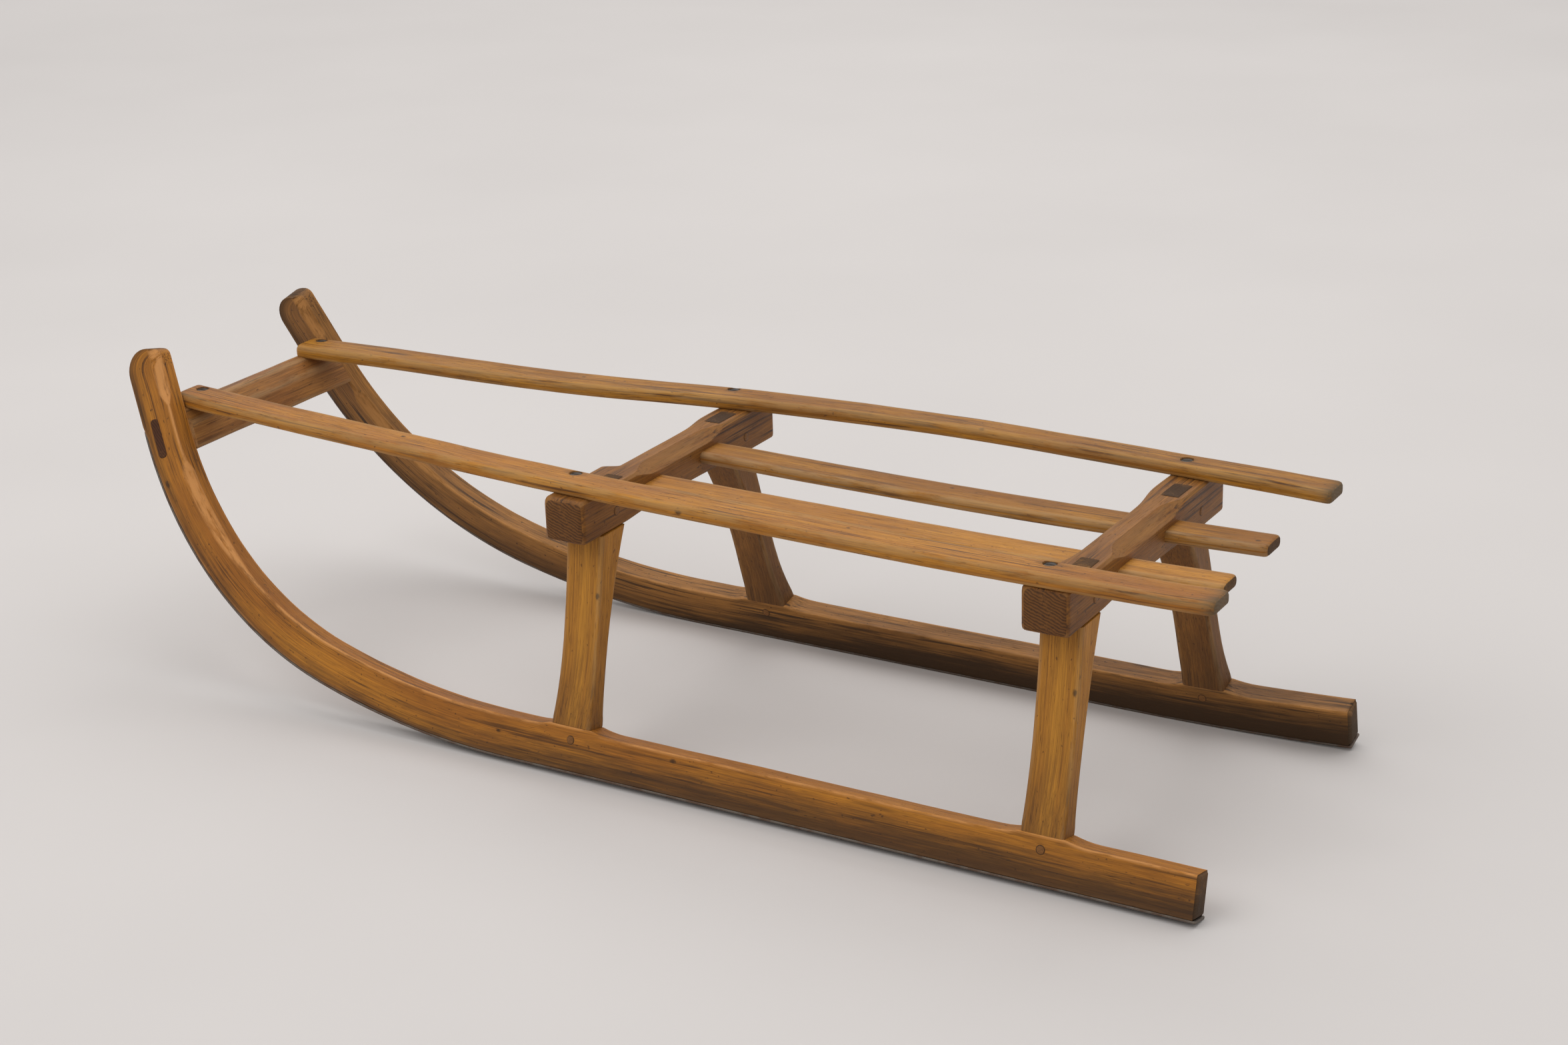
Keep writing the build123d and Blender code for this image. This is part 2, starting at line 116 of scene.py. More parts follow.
# Height and radius of the tapered well over a slat's screw, from the screw's head to above the slat
WELL_LEVELS = ((SLAT_TOP - 1.3, 4.75), (SLAT_TOP + 0.2, 5.8), (SLAT_TOP + 2, 7.2))
WELL_REACH = 7.0
CROSSBAR_PEG_R, CROSSBAR_PEG_Y, CROSSBAR_PEG_Z = 3.5, 100.0, 209.0
FOOT_PEG_R, FOOT_PEG_V = 3.2, 28.0
SHOE_SCREWS, SHOE_SCREW_FIRST, SHOE_SCREW_STEP = 6, 25.0, 113.0
SHOE_SCREW_PROFILE = ((1.6, -16.0), (1.6, -2.3), (3.5, -0.4), (3.5, 0.0), (3.2, 0.12), (1.0, 0.15))

# What a point's marks hold, after its three grain coordinates: how much of an arris it is, or below zero
# how much painted shade it gets in a hole or gap; how much end grain; how much dirt
ARRIS, END = 3, 4
MARKS = 6

WAVES = ((47.0, 1.0, 1.0), (19.0, 2.3, 0.6), (8.3, 4.1, 0.3))  # length, phase and height of each ripple
ARC = 4  # faces round each arris
CORNER_SHARE = 0.46  # the most of a side that one rounded corner takes
EDGE_BAND = 1.6  # width of the first face beside an arris
SHARP = radians(32.0)  # a crease steeper than this is shaded sharp


def smooth(t):
    """An S-shaped ramp from 0 to 1."""
    t = min(max(t, 0.0), 1.0)
    return t * t * (3 - 2 * t)


def through(points, t):
    """A smooth curve through (t, value) points, in order of t."""
    ts = [p[0] for p in points]
    vs = [p[1] for p in points]
    slopes = []
    for i in range(len(ts)):
        a, b = max(i - 1, 0), min(i + 1, len(ts) - 1)
        slopes.append((vs[b] - vs[a]) / (ts[b] - ts[a]))
    i = min(max(int(np.searchsorted(ts, t)) - 1, 0), len(ts) - 2)
    h = ts[i + 1] - ts[i]
    u = min(max((t - ts[i]) / h, 0.0), 1.0)
    a, b = vs[i], vs[i + 1]
    return (
        (2 * u**3 - 3 * u**2 + 1) * a + (u**3 - 2 * u**2 + u) * h * slopes[i]
        + (3 * u**2 - 2 * u**3) * b + (u**3 - u**2) * h * slopes[i + 1]
    )


def wobble(s, seed, size):
    """The slight waviness of wood shaped by hand."""
    return size * sum(height * sin(s / length + phase * seed) for length, phase, height in WAVES)


def drawn_back(radius, away):
    """How far a rounded end draws a side back, at a distance from the end."""
    return radius - sqrt(max(radius**2 - max(radius - away, 0.0) ** 2, 0.0))


# ---- mesh making -------------------------------------------------------------------------------

def corner(p, toward_last, toward_next, radius, flat):
    """Points round one corner of a section, from the last side to the next one.

    The radius may be a pair, for a bevel that reaches further along one side. Flat is 1 for a plain
    bevel and 0 for a full round.
    """
    before, after = radius if isinstance(radius, tuple) else (radius, radius)
    p, a, b = (np.array(v, float) for v in (p, toward_last, toward_next))
    da, db = a - p, b - p
    la, lb = np.linalg.norm(da), np.linalg.norm(db)
    da, db = da / la, db / lb
    start = p + da * min(before, CORNER_SHARE * la)
    end = p + db * min(after, CORNER_SHARE * lb)
    points = []
    for i in range(ARC + 1):
        t = i / ARC
        bow = (1 - t) ** 2 * start + 2 * t * (1 - t) * p + t * t * end
        straight = start + (end - start) * t
        points.append(bow + (straight - bow) * flat)
    return points


def section(corners, radii, flats=None, fill=3):
    """A closed section with rounded corners: points and how much of an arris each one is."""
    n = len(corners)
    flats = flats or [0.0] * n
    points, arris = [], []
    rounds = [
        corner(corners[i], corners[i - 1], corners[(i + 1) % n], radii[i], flats[i]) for i in range(n)
    ]
    for i in range(n):
        points += rounds[i]
        arris += [0.6] + [1.0] * (ARC - 1) + [0.6]
        start, end = rounds[i][-1], rounds[(i + 1) % n][0]
        length = np.linalg.norm(end - start)
        edge = min(EDGE_BAND / max(length, 0.01), 0.3)
        stops = [edge] + [(k + 1) / (fill + 1) for k in range(fill)] + [1 - edge]
        stops = sorted(stops) if edge < 1 / (fill + 1) else list(np.linspace(0, 1, fill + 4)[1:-1])
        for stop in stops:
            points.append(start + (end - start) * stop)
            arris.append(0.0)
    return np.array(points), np.array(arris)


def rectangle(a0, a1, b0, b1):
    """The four corners of a rectangular section."""
    return [(a0, b0), (a1, b0), (a1, b1), (a0, b1)]


def tube(count, around):
    """Quads along a stack of rings."""
    faces = []
    for i in range(count - 1):
        for j in range(around):
            k = (j + 1) % around
            faces.append((i * around + j, i * around + k, (i + 1) * around + k, (i + 1) * around + j))
    return faces


def end_faces(count, around):
    """One face over each end of a stack of rings."""
    return [tuple(range(around))[::-1], tuple(range((count - 1) * around, count * around))]


def inside_grid(source, index, side, i, j):
    """A point inside an end's grid, blended from the grid's four edges."""
    u, v = i / side, j / side

    def edge(a, b):
        return source[index[a, b]]

    return (
        (1 - v) * edge(i, 0) + v * edge(i, side) + (1 - u) * edge(0, j) + u * edge(side, j)
        - (1 - u) * (1 - v) * edge(0, 0) - u * (1 - v) * edge(side, 0)
        - u * v * edge(side, side) - (1 - u) * v * edge(0, side)
    )


def capped(rings, marks):
    """Quads along the rings and a grid of quads over each end, for a section with four sides."""
    count, around = rings.shape[:2]
    points, info = rings.reshape(-1, 3), marks.reshape(-1, MARKS)
    verts, data = [points], [info]
    faces = tube(count, around)
    total = count * around
    side = around // 4
    shift = ARC // 2
    for ring in (0, count - 1):
        base = ring * around
        index = {}
        for i in range(side + 1):
            index[i, 0] = base + (shift + i) % around
            index[side, i] = base + (shift + side + i) % around
            index[side - i, side] = base + (shift + 2 * side + i) % around
            index[0, side - i] = base + (shift + 3 * side + i) % around
        new, new_info = [], []
        for i in range(1, side):
            for j in range(1, side):
                index[i, j] = total + len(new)
                new.append(inside_grid(points, index, side, i, j))
                spot = inside_grid(info, index, side, i, j)
                spot[ARRIS] = 0.0
                new_info.append(spot)
        verts.append(np.array(new).reshape(-1, 3))
        data.append(np.array(new_info).reshape(-1, MARKS))
        total += len(new)
        for i in range(side):
            for j in range(side):
                quad = (index[i, j], index[i + 1, j], index[i + 1, j + 1], index[i, j + 1])
                faces.append(quad if ring else quad[::-1])
    return np.concatenate(verts), faces, np.concatenate(data)


def make_object(name, verts, faces, data, material):
    """A mesh object in metres with its grain coordinates and its marks of wear and painted shade as
    attributes.
    """
    mesh = bpy.data.meshes.new(name)
    mesh.from_pydata([tuple(v * MM) for v in verts], [], [tuple(int(i) for i in f) for f in faces])
    piece = bpy.data.objects.new(name, mesh)
    bpy.context.scene.collection.objects.link(piece)
    grain = mesh.attributes.new("grain", "FLOAT_VECTOR", "POINT")
    marks = mesh.attributes.new("marks", "FLOAT_VECTOR", "POINT")
    grain.data.foreach_set("vector", (data[:, :3] * MM).astype(np.float32).ravel())
    marks.data.foreach_set("vector", data[:, 3:6].astype(np.float32).ravel())
    mesh.materials.append(material)
    finish_mesh(mesh)
    return piece


def finish_mesh(mesh):
    """Outward faces, smooth shading and sharp arrises."""
    work = bmesh.new()
    work.from_mesh(mesh)
    bmesh.ops.remove_doubles(work, verts=work.verts, dist=1e-6)
    bmesh.ops.recalc_face_normals(work, faces=work.faces)
    work.to_mesh(mesh)
    work.free()
    mesh.shade_smooth()
    mesh.set_sharp_from_angle(angle=SHARP)
    mesh.update()


def joined(name, parts):
    """Several pieces made one object."""
    target = parts[0]
    with bpy.context.temp_override(active_object=target, selected_editable_objects=parts):
        bpy.ops.object.join()
    target.name = target.data.name = name
    return target


def swept(name, rings, marks, material):
    """A piece swept along its length with a four-sided section, both ends closed."""
    rings = np.array(rings)
    verts, faces, data = capped(rings, np.array(marks).reshape(len(rings), -1, MARKS))
    return make_object(name, verts, faces, data, material)


def placed(piece, node):
    """Hides the imported part that a piece stands in for, and lets the piece ride with the sledge."""
    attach(piece, "root")
    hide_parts(node)


# ---- the side's plane --------------------------------------------------------------------------

def toe_out(side, x):
    """How far the right runner's tail splays."""
    back = max((x - (TAIL - TOE_LENGTH)) / TOE_LENGTH, 0.0) if side == "right" else 0.0
    return TOE_OUT * back * back


def on_side(side, x, y, v):
    """A point of the side's plane in the sledge's own frame."""
    splay = toe_out(side, x)
    world_y = TRACK / 2 - y * COS - v * SIN + splay
    world_z = LIFT - y * SIN + v * COS + TOE_RISE * splay
    return (x, SIGN[side] * world_y, world_z)


def sole_at(s):
    """The sole's point at a distance along it, and the slope there."""
    x, v, turn = TAIL - min(s, SOLE_FLAT), 0.0, 0.0
    left = s - SOLE_FLAT
    if left <= 0:
        return x, v, turn
    for radius, sweep in BENDS:
        part = min(left / radius, sweep)
        x -= radius * (sin(turn + part) - sin(turn))
        v += radius * (cos(turn) - cos(turn + part))
        turn += part
        left -= part * radius
        if left <= 0:
            return x, v, turn
    return x - left * cos(turn), v + left * sin(turn), turn


def in_runner(s, depth):
    """A point of the runner at a depth above its sole."""
    x, v, turn = sole_at(s)
    return np.array([x + depth * sin(turn), v + depth * cos(turn)])


def pad(x, side):
    """How far the runner rises under a leg."""
    rise = 0.0
    for name in ("middle", "rear"):
        front, rear = LEG_EDGES[f"{name}_{side}"]
        x0, x1 = TAIL - front[0], TAIL - rear[0]
        out = max(x0 - x, x - x1, 0.0) / PAD_RAMP
        rise = max(rise, PAD_H * (1 - min(out, 1.0)) ** 2)
    return rise


def runner_outline(side):
    """Distances along the sole with a point there and one on the upper edge, from tail to horn."""
    beside_leg = (-3, 1, 5, 10, 16, PAD_RAMP)
    stops = [0.0, 2.0, 5.0, 12.0, 24.0, 40.0, 60.0, 80.0]
    for name in CROSSBARS:
        front, rear = LEG_EDGES[f"{name}_{side}"]
        stops += [rear[0] - away for away in beside_leg] + [(front[0] + rear[0]) / 2]
        stops += [front[0] + away for away in beside_leg]
    stops += list(np.arange(180, 500, 17.5))
    stops = sorted(stops) + list(np.arange(595, ARCS_END - 4, 12.0)) + [ARCS_END]
    sole_end = ARCS_END + (HORN_TOP - sole_at(ARCS_END)[1]) / sin(HORN_LEAN)
    nose_start = sole_end - NOSE_R / tan(HORN_LEAN / 2)
    stops += list(np.linspace(ARCS_END, nose_start, 6)[1:])
    pairs = []
    for s in stops:
        high = in_runner(s, RUNNER_H)
        high[1] += pad(high[0], side) + wobble(s, 1.3 + SIGN[side], 0.14) * smooth((s - 4) / 30)
        pairs.append((s, in_runner(s, 0.0), high))
    along = np.array([-cos(HORN_LEAN), sin(HORN_LEAN)])
    inward = np.array([sin(HORN_LEAN), cos(HORN_LEAN)])
    nose_middle = in_runner(nose_start, 0) + inward * NOSE_R
    back_end = sole_end - RUNNER_H / tan(HORN_LEAN)
    back_start = back_end - BACK_R * tan(HORN_LEAN / 2)
    back_middle = in_runner(back_start, RUNNER_H) - inward * BACK_R
    straight = back_start - nose_start
    curve = BACK_R * HORN_LEAN
    nose_steps, nose_grain = 12, 30.0
    for i in range(1, nose_steps + 1):
        t = i / nose_steps
        turn = (pi - HORN_LEAN) * t
        low = nose_middle + NOSE_R * (-inward * cos(turn) + along * sin(turn))
        gone = t * (straight + curve)
        if gone < straight:
            high = in_runner(nose_start + gone, RUNNER_H)
        else:
            turn = (gone - straight) / BACK_R
            high = back_middle + BACK_R * (inward * cos(turn) + along * sin(turn))
        pairs.append((nose_start + t * nose_grain, low, high))
    return pairs


def horn_chamfer(v):
    """Width of the chamfer on the upper arris at a height: broad round the bend and at the horn's tip."""
    plain, bend_width, bend_start, bend_rise, bend_end, bend_fall = 1.2, 6.0, 88, 60, 188, 9
    tip_width, tip_start, tip_rise = 7.0, 240, 10
    bend = smooth((v - bend_start) / bend_rise) * (1 - smooth((v - bend_end) / bend_fall))
    return max(plain + bend_width * bend, tip_width * smooth((v - tip_start) / tip_rise))


def runner(side, material):
    """A runner: bent to a horn, with its raised seats, chamfers and worn tail."""
    plain, worn, flattening = 1.6, 1.4, 1.5
    shoe_end, shoe_fade = ARCS_END + 5, 6.0
    tail_dirt, dirt_start, dirt_fade = (0.55 if side == "right" else 0.42), 320, 480
    flat_rings, marks = [], []
    for s, low, high in runner_outline(side):
        span = np.linalg.norm(high - low)
        up = (high - low) / span
        shoe_depth = SHOE_T * (1 - smooth((s - shoe_end) / shoe_fade))
        broad = horn_chamfer(high[1])
        inner, outer = (broad, worn) if side == "right" else (worn, broad)
        flats = [0.0, 0.0, smooth((inner - plain) / flattening), smooth((outer - plain) / flattening)]
        box = rectangle(0.0, RUNNER_T, shoe_depth, span)
        points, arris = section(box, [plain, plain, inner, outer], flats)
        ring = []
        for (a, b), edge in zip(points, arris):
            x, v = low + up * b
            ring.append((x, a + wobble(s, 5.0, 0.15), v))
            dirt = 1 - min(b / RUNNER_H, 1.0) + tail_dirt * (1 - smooth((s - dirt_start) / dirt_fade))
            marks.append((s, a, b, edge, 0.0, dirt))
        flat_rings.append(ring)
    flat_rings = np.array(flat_rings)
    marks = np.array(marks).reshape(len(flat_rings), -1, MARKS)
    tail = flat_rings[0]
    middle = tail.mean(axis=0)
    half = np.abs(tail - middle).max(axis=0)
    rounding = []
    for turn in (90, 55, 25):
        sink = TAIL_ROUND * (1 - cos(radians(turn)))
        ring = tail.copy()
        ring[:, 0] += TAIL_ROUND * (sin(radians(turn)) - 1)
        ring[:, 1:] = middle[1:] + (tail[:, 1:] - middle[1:]) * (1 - sink / half[1:])
        rounding.append(ring)
    flat_rings[0, :, 0] -= TAIL_ROUND
    end_marks = np.repeat(marks[:1], len(rounding), axis=0)
    end_marks[..., END] = 1.0
    end_marks[..., ARRIS] = np.array([[0.4], [1.0], [0.8]])
    marks = np.concatenate([end_marks, marks])
    marks[-1, :, END] = 0.3
    flat_rings = np.concatenate([np.array(rounding), flat_rings])
    rings = [[on_side(side, *point) for point in ring] for ring in flat_rings]
    return swept(f"runner_{side}", rings, marks, material)


def shoe(side, material):
    """The steel strip under a runner, thinned where it ends on the horn."""
    edge_r, gap, tip, fade = 0.7, 0.25, ARCS_END + 7.2, 3.0
    stops = [0.0, edge_r, 2.0, *np.arange(10, SOLE_FLAT, 20), *np.arange(SOLE_FLAT, ARCS_END, 10)]
    stops += [ARCS_END + past for past in (0, 3, 6, 7)]
    rings, marks = [], []
    for s in stops:
        thinned = 1 - max(min(s / edge_r, (tip - s) / fade, 1.0), 0.0)
        inset = gap + 0.5 * thinned
        box = rectangle(inset, RUNNER_T - inset, 0.0, SHOE_T - 0.3 * thinned)
        points, arris = section(box, [edge_r] * 4)
        x, v, turn = sole_at(s)
        rings.append([on_side(side, x + b * sin(turn), a, v + b * cos(turn)) for a, b in points])
        marks += [(s, a, b, edge, 0.0, 0.0) for (a, b), edge in zip(points, arris)]
    return swept(f"runner_shoe_{side}", rings, marks, material)


def leg_x(edge, v):
    """A leg's front or rear edge at a height, from its foot through its waist to its head."""
    foot, waist, head = (TAIL - distance for distance in edge)
    low = max(1 - (v - FOOT_V) / FOOT_FLARE, 0.0) ** 2.2
    high = max((v - HEAD_START) / HEAD_FLARE, 0.0) ** 1.8
    return waist + (foot - waist) * low + (head - waist) * high


def leg_middle(name):
    """x of the middle of a crossbar's legs at the waist."""
    front, rear = LEG_EDGES[f"{name}_left"]
    return TAIL - (front[1] + rear[1]) / 2


def shank(name, side, material):
    """A leg's shank: flush foot, slim waist and flaring head, cut off square under the crossbar."""
    front, rear = LEG_EDGES[f"{name}_{side}"]
    top_v = (BAR_UNDER - LIFT) / COS
    arris_r, foot_swell, foot_gap = 2.6, 1.2, 0.35
    steps = (
        0, 0.012, 0.035, 0.07, 0.12, 0.18, 0.25, 0.34, 0.44, 0.55, 0.66, 0.76, 0.85, 0.92, 0.97, 0.992, 1,
    )
    rings, marks = [], []
    for t in steps:
        v = FOOT_V + t * (top_v - FOOT_V)
        lean = (v - FOOT_V) * tan(DRIFT[side])
        outer = LEG_INSET * (1 - max(1 - (v - FOOT_V) / 50, 0.0) ** 2) + lean
        over = max(v - LEG_BEND_V, 0.0)
        inner = LEG_INSET + LEG_T + lean + LEG_BEND_R - sqrt(LEG_BEND_R**2 - over**2)
        inner += foot_swell * (1 - smooth((v - FOOT_V) / 10))
        x0, x1 = leg_x(front, v) + wobble(v, 2.0, 0.2), leg_x(rear, v) + wobble(v, 3.7, 0.2)
        gap = foot_gap * (1 - smooth(t / 0.03))
        points, arris = section(rectangle(x0 + gap, x1 - gap, outer + gap, inner - gap), [arris_r] * 4)
        ring = []
        for x, y in points:
            reach = (BAR_UNDER - LIFT + y * SIN) / COS
            ring.append(on_side(side, x, y, FOOT_V + t * (reach - FOOT_V)))
        rings.append(ring)
        marks += [(v, x - x0, y, edge, 0.0, 1 - t) for (x, y), edge in zip(points, arris)]
    return swept(f"leg_{name}_{side}", rings, marks, material)


def head_tenon(name, side, material):
    """The leg's tenon through the crossbar, its end a little proud on top."""
    middle = leg_middle(name)
    rings, marks = [], []
    for height, inset in ((-30, 0.0), (-4, 0.0), (0.1, 0.0), (0.45, 0.5)):
        y = TENON_Y[side] - height * tan(TENON_LEAN)
        half = TENON_HALF - inset
        box = rectangle(middle - half, middle + half, y + inset, y + TENON_WIDTH - inset)
        points, arris = section(box, [1.2] * 4)
        rings.append([(a, SIGN[side] * b, BAR_TOP + height) for a, b in points])
        marks += [(BAR_TOP + height, a - middle, b, edge, 1.0, 0.0) for (a, b), edge in zip(points, arris)]
    return swept(f"tenon_{name}_{side}", rings, marks, material)


def leg(name, side, material):
    """A leg with its tenon."""
    return joined(f"leg_{name}_{side}", [shank(name, side, material), head_tenon(name, side, material)])


def crossbar(name, material):
    """A crossbar: block ends, waist hollowed in front, rear top arris bevelled between the blocks."""
    rear, waist, ends = CROSSBARS[name]
    x_rear, x_waist = TAIL - rear, TAIL - waist
    end_r, front_end_r = 4.5, 10.0
    arch, arch_half = 3.0, 84.0
    bevel_half, bevel_fade = 40.0, 32.0
    stops = (
        0, 0.8, 2, 3.4, 5, 7.5, 10, 13, 18, 26, 36, 46, 54, 60, 66, 72, 76, 79.5, 81, 82.5, 84, 86, 88, 90,
        93, 97, 102, 110, 122, 136, 148,
    )
    rings, marks = [], []
    for stop in sorted({*stops, *[2 * BAR_HALF - s for s in stops]}):
        y = stop - BAR_HALF
        away = BAR_HALF - abs(y)
        block, start, end = ends[0] if y < 0 else ends[1]
        step = smooth((abs(y) - start) / (end - start))
        x_front = x_waist + (TAIL - block - x_waist) * step + wobble(y, 3.0, 0.25)
        back = drawn_back(end_r, away)
        under = BAR_UNDER + arch * max(1 - (y / arch_half) ** 2, 0.0)
        full = 1 - smooth((abs(y) - bevel_half) / bevel_fade)
        x0, x1 = x_front + max(back, drawn_back(front_end_r, away) * 0.8), x_rear - back
        bevel = (2.0 + 6.0 * full, 2.0 + 10.0 * full)
        radii = [3.5, 3.0, bevel, 4.2 + 2.4 * step]
        points, arris = section(rectangle(x0, x1, under + back, BAR_TOP - back), radii, [0, 0, 1, 0], fill=4)
        rings.append([(x, y, z) for x, z in points])
        end_grain = 1.0 if away < 1.2 else 0.0
        marks += [(y, x - x_rear, z, edge, end_grain, 0.0) for (x, z), edge in zip(points, arris)]
    return swept(f"crossbar_{name}", rings, marks, material)


def rail_bar(material):
    """The rail itself, cut to the horns' outer faces."""
    rise, run = sin(HORN_LEAN), cos(HORN_LEAN)
    corners = [
        (TAIL - RAIL_FOOT[0] - up * run - forward * rise, RAIL_FOOT[1] + up * rise - forward * run)
        for up, forward, _ in RAIL_SECTION
    ]
    points, arris = section(corners, [radius for _, _, radius in RAIL_SECTION], fill=2)
    count, around = 25, len(points)
    inside_horn = 0.8
    verts, marks = [], []
    for t in np.linspace(-1, 1, count):
        for (x, z), edge in zip(points, arris):
            v = (z - LIFT + RUNNER_T * SIN) / COS
            y = t * (TRACK / 2 - RUNNER_T * COS - v * SIN + inside_horn)
            verts.append((x + wobble(y, 1.0, 0.15), y, z + wobble(y, 2.0, 0.15)))
            marks.append((y, x, z, edge, 0.0, 0.0))
    faces = tube(count, around) + end_faces(count, around)
    return make_object("front_rail", np.array(verts), faces, np.array(marks), material)


def rail_tenon(side, material):
    """The end of the rail's tenon, a little proud of the horn's outer face."""
    middle = np.array([TAIL - RAIL_TENON[0], RAIL_TENON[1]])
    along = np.array([-cos(HORN_LEAN), sin(HORN_LEAN)])
    across = np.array([sin(HORN_LEAN), cos(HORN_LEAN)])
    rings, marks = [], []
    for y, inset in ((12.0, 0.0), (0.6, 0.0), (-0.1, 0.1), (-0.45, 0.7)):
        half_a, half_b = (half - inset for half in RAIL_TENON_HALVES)
        points, _ = section(rectangle(-half_a, half_a, -half_b, half_b), [4.2 - inset] * 4)
        spots = [middle + along * a + across * b for a, b in points]
        rings.append([on_side(side, x, y, v) for x, v in spots])
        marks += [(y, a, b, 0.0, 1.0, 1.0) for a, b in points]
    return swept(f"rail_tenon_{side}", rings, marks, material)


def rail(material):
    """The rail between the horns, with its tenons' ends on the horns' outer faces."""
    return joined("front_rail", [rail_bar(material), *(rail_tenon(side, material) for side in SIGN)])


def slat(name, material, cutters=()):
    """A slat: bowed in plan, its arrises rounded by wear, its tail worn away at the corners."""
    place, side = name.split("_")
    sign = SIGN[side]
    outer = place == "outer"
    table = sorted(SLATS[name])
    centre = [(distance, y) for distance, y, _ in table]
    width = [(distance, across) for distance, _, across in table]
    tail, front = table[0][0], table[-1][0]
    near_end = (0.0, 0.6, 1.8, 3.6, 6.0, 9.0, 13.0, 20.0)
    distances = [tail + s for s in near_end] + list(np.arange(tail + 34, front - 30, 14.0))
    distances += [front - s for s in reversed(near_end)]
    inner_top, inner_under, inner_middle, inner_half = 217.5, 208.0, 287, 258
    crown = 0.35
    rings, marks = [], []
    for distance in distances:
        y = through(centre, distance)
        half = through(width, distance) / 2
        away = min(distance - tail, front - distance)
        if outer:
            plan_r = 6.0 if distance < (tail + front) / 2 else 4.0
            under = BAR_TOP - 1.5 * smooth((distance - 900) / 60)
            top = SLAT_TOP + wobble(distance, 1.7 * sign, 0.14) - 0.14
            radii = [2.6, 2.6, 5.0, 5.0]
            dirt = exp(-(distance - tail) / 22.0)
        else:
            plan_r = 5.0
            sag = 1 - ((distance - inner_middle) / inner_half) ** 2
            under = inner_under - sag
            top = inner_top - sag + wobble(distance, 2.9 * sign, 0.1)
            radii = [4.0, 4.0, 4.2, 4.2]
            dirt = 0.6 * exp(-(distance - tail) / 10.0)
        narrow, thin = drawn_back(plan_r, away), drawn_back(2.6, away)
        half += wobble(distance, 4.4 * sign, 0.18)
        under += min(thin, (top - under) * 0.3)
        top -= min(thin, (top - under) * 0.35)
        points, arris = section(rectangle(-half + narrow * 0.8, half - narrow * 0.8, under, top), radii)
        ring = []
        for a, z in points:
            raised = crown * (1 - (a / half) ** 2) if z > under + 5 else 0.0
            ring.append((TAIL - distance, sign * y + a, z + raised))
        rings.append(ring)
        end_grain = 1.0 if away < 1.0 else 0.0
        marks += [(distance, a, z, edge, end_grain, dirt) for (a, z), edge in zip(points, arris)]
    rings = np.array(rings)
    piece = swept(f"slat_{name}", rings, marks, material)
    for cutter in cutters:
        cut = piece.modifiers.new("well", "BOOLEAN")
        cut.operation, cut.solver, cut.object = "DIFFERENCE", "EXACT", cutter
    if cutters:
        settle(piece)
        repaint(piece, rings, side)
    return piece


def settle(piece):
    """Applies a piece's modifiers to its mesh."""
    graph = bpy.context.evaluated_depsgraph_get()
    graph.update()
    mesh = bpy.data.meshes.new_from_object(piece.evaluated_get(graph))
    piece.modifiers.clear()
    piece.data = mesh
    mesh.name = piece.name


def repaint(piece, rings, side):
    """Gives the walls of the screw wells the grain, and painted shade: near-black deep in the well, lighter
    near the rim.
    """
    mesh = piece.data
    known = {tuple(np.round(p, 3)) for p in rings.reshape(-1, 3)}
    grain, marks = mesh.attributes["grain"], mesh.attributes["marks"]
    centre_y, xs = rings[:, :, 1].mean(axis=1), rings[:, 0, 0]
    # Painted shade on the well walls: fully dark below deep_below, about a third as dark above it.
    deep_below, hole_shade, rim_shade = SLAT_TOP - 0.7, -1.0, -0.35
    for i, vertex in enumerate(mesh.vertices):
        p = np.array(vertex.co) / MM
        if tuple(np.round(p, 3)) in known:
            continue
        if min(np.hypot(p[0] - x, p[1] - y) for x, y in well_spots(side)) > WELL_REACH:
            continue
        middle = np.interp(p[0], xs[::-1], centre_y[::-1])
        grain.data[i].vector = Vector(((TAIL - p[0]) * MM, (p[1] - middle) * MM, p[2] * MM))
        marks.data[i].vector = Vector((hole_shade if p[2] < deep_below else rim_shade, 0.0, 0.0))


def well_spots(side):
    """Where an outer slat's screws are."""
    return [(TAIL - distance, SIGN[side] * y) for distance, y in SCREWS[side]]


def well_cutters(side):
    """The tapered wells above the slat's screws."""
    cutters = []
    around = 32
    circle = [(cos(2 * pi * k / around), sin(2 * pi * k / around)) for k in range(around)]
    for x, y in well_spots(side):
        verts = [((x + r * a) * MM, (y + r * b) * MM, z * MM) for z, r in WELL_LEVELS for a, b in circle]
        faces = tube(len(WELL_LEVELS), around) + end_faces(len(WELL_LEVELS), around)
        mesh = bpy.data.meshes.new("well")
        mesh.from_pydata(verts, [], faces)
        cutter = bpy.data.objects.new("well", mesh)
        bpy.context.scene.collection.objects.link(cutter)
        cutters.append(cutter)
    return cutters


def turned(name, profile, place, material, tilt=0.0):
    """A turned piece: rings of (radius, height) about an axis, set in the sledge by place."""
    around, in_wood = 24, 0.1
    verts, data = [], []
    for radius, height in profile:
        for k in range(around):
            angle = 2 * pi * k / around + tilt
            a, b = radius * cos(angle), radius * sin(angle)
            verts.append(place(a, b, height))
            # The part below the surface is marked for near-black painted shade; on a peg it shows as a dark
            # ring of painted shade in the gap round its end.
            data.append((height, a, b, -0.75 if height < in_wood else 0.0, 0.5, 0.0))
    faces = tube(len(profile), around) + end_faces(len(profile), around)
    return make_object(name, np.array(verts), faces, np.array(data), material)


def peg_profile(radius, length):
    """A whittled peg: a long shank and a low domed end standing a little proud."""
    gap = radius + 0.55
    dome = ((1.0, 0.09), (0.95, 0.32), (0.8, 0.48), (0.5, 0.6), (0.2, 0.64))
    return [(gap, -length), (gap, 0.06), *((radius * share, height) for share, height in dome)]


def crossbar_pegs(name, material):
    """The two pegs driven into a crossbar from behind."""
    x = TAIL - CROSSBARS[name][0]
    profile = peg_profile(CROSSBAR_PEG_R, 24.0)
    parts = []
    for k, sign in enumerate((-1, 1)):

        def place(a, b, h):
            return (x + h, sign * CROSSBAR_PEG_Y + a, CROSSBAR_PEG_Z + b)

        parts.append(turned(f"peg_{name}_{k}", profile, place, material, tilt=0.3 * k))
    return joined(f"crossbar_pegs_{name}", parts)


